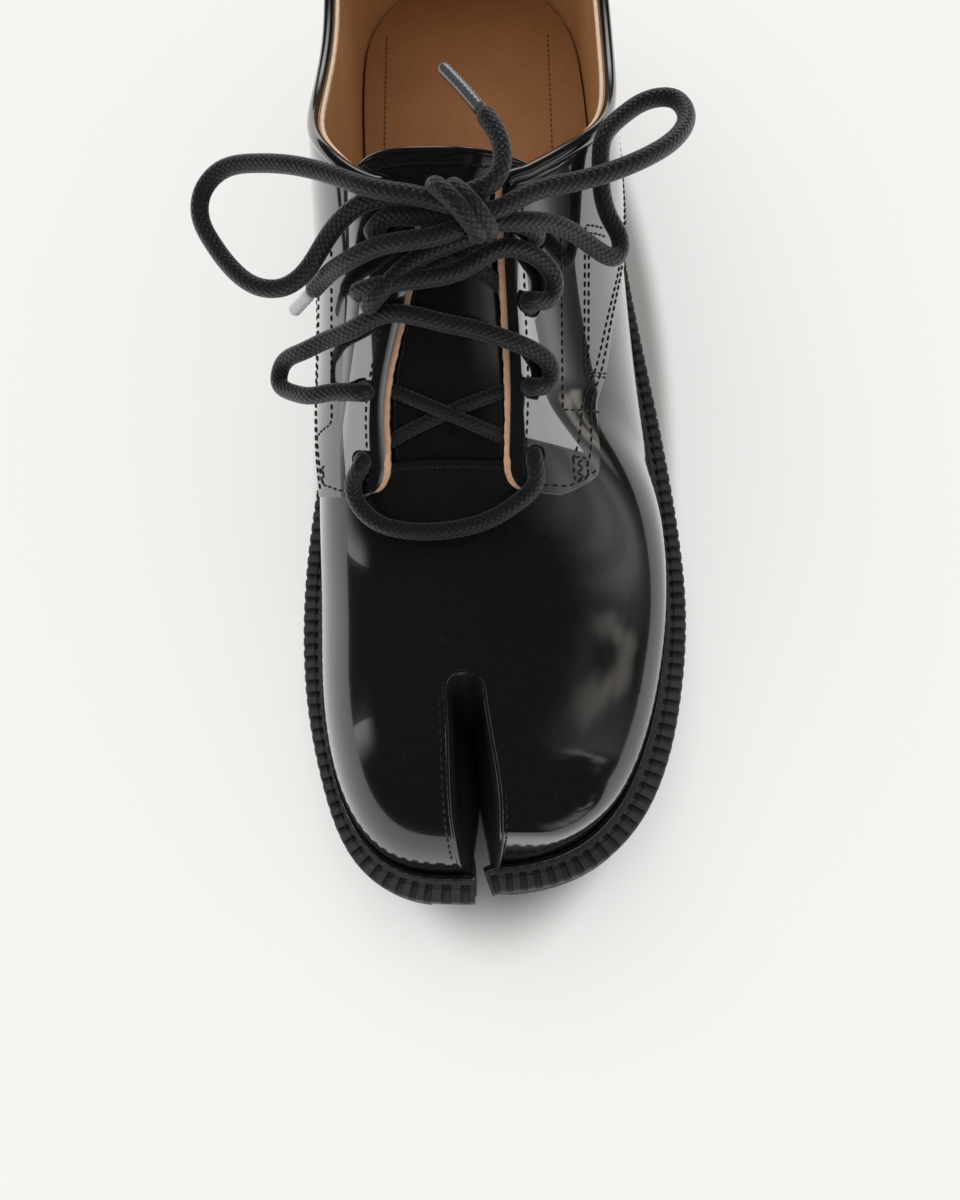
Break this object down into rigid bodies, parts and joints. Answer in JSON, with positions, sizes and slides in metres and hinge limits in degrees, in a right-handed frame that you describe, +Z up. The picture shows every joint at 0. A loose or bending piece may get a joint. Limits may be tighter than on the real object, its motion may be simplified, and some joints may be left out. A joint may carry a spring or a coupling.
{
  "type": "split toe lace-up shoe",
  "caption": "Low lace-up shoe for the left foot with a cleft toe, open lacing quarters, a ribbed rubber welt and a low heel.",
  "frame": {"origin": "on the floor under the middle of the shoe's box, bow and lace ends left out", "axes": "+Z up, +Y from toe to heel, +X to the outer (little toe) side of this left shoe"},
  "size_m": [0.1227, 0.3102, 0.1191],
  "materials": {
    "sole_rubber": "matte",
    "heel_rubber": "matte",
    "welt_rubber": "matte",
    "sock_leather": "matte",
    "black_patent": "high gloss",
    "quarter_patent": "high gloss",
    "tongue_patent": "gloss",
    "lace_cord": "waxed",
    "lace_tip": "gloss"
  },
  "bodies": {
    "root": {"outsole": "sole_rubber", "heel": "heel_rubber", "welt": "welt_rubber", "insole": "sock_leather", "upper": "black_patent", "quarter_medial": "quarter_patent", "quarter_lateral": "quarter_patent", "tongue": "tongue_patent", "lace_bar_low": "lace_cord", "lace_bar_mid": "lace_cord", "lace_bar_high": "lace_cord", "lace_bow": "lace_cord", "aglet_medial": "lace_tip", "aglet_collar": "lace_tip"}
  },
  "joints": []
}
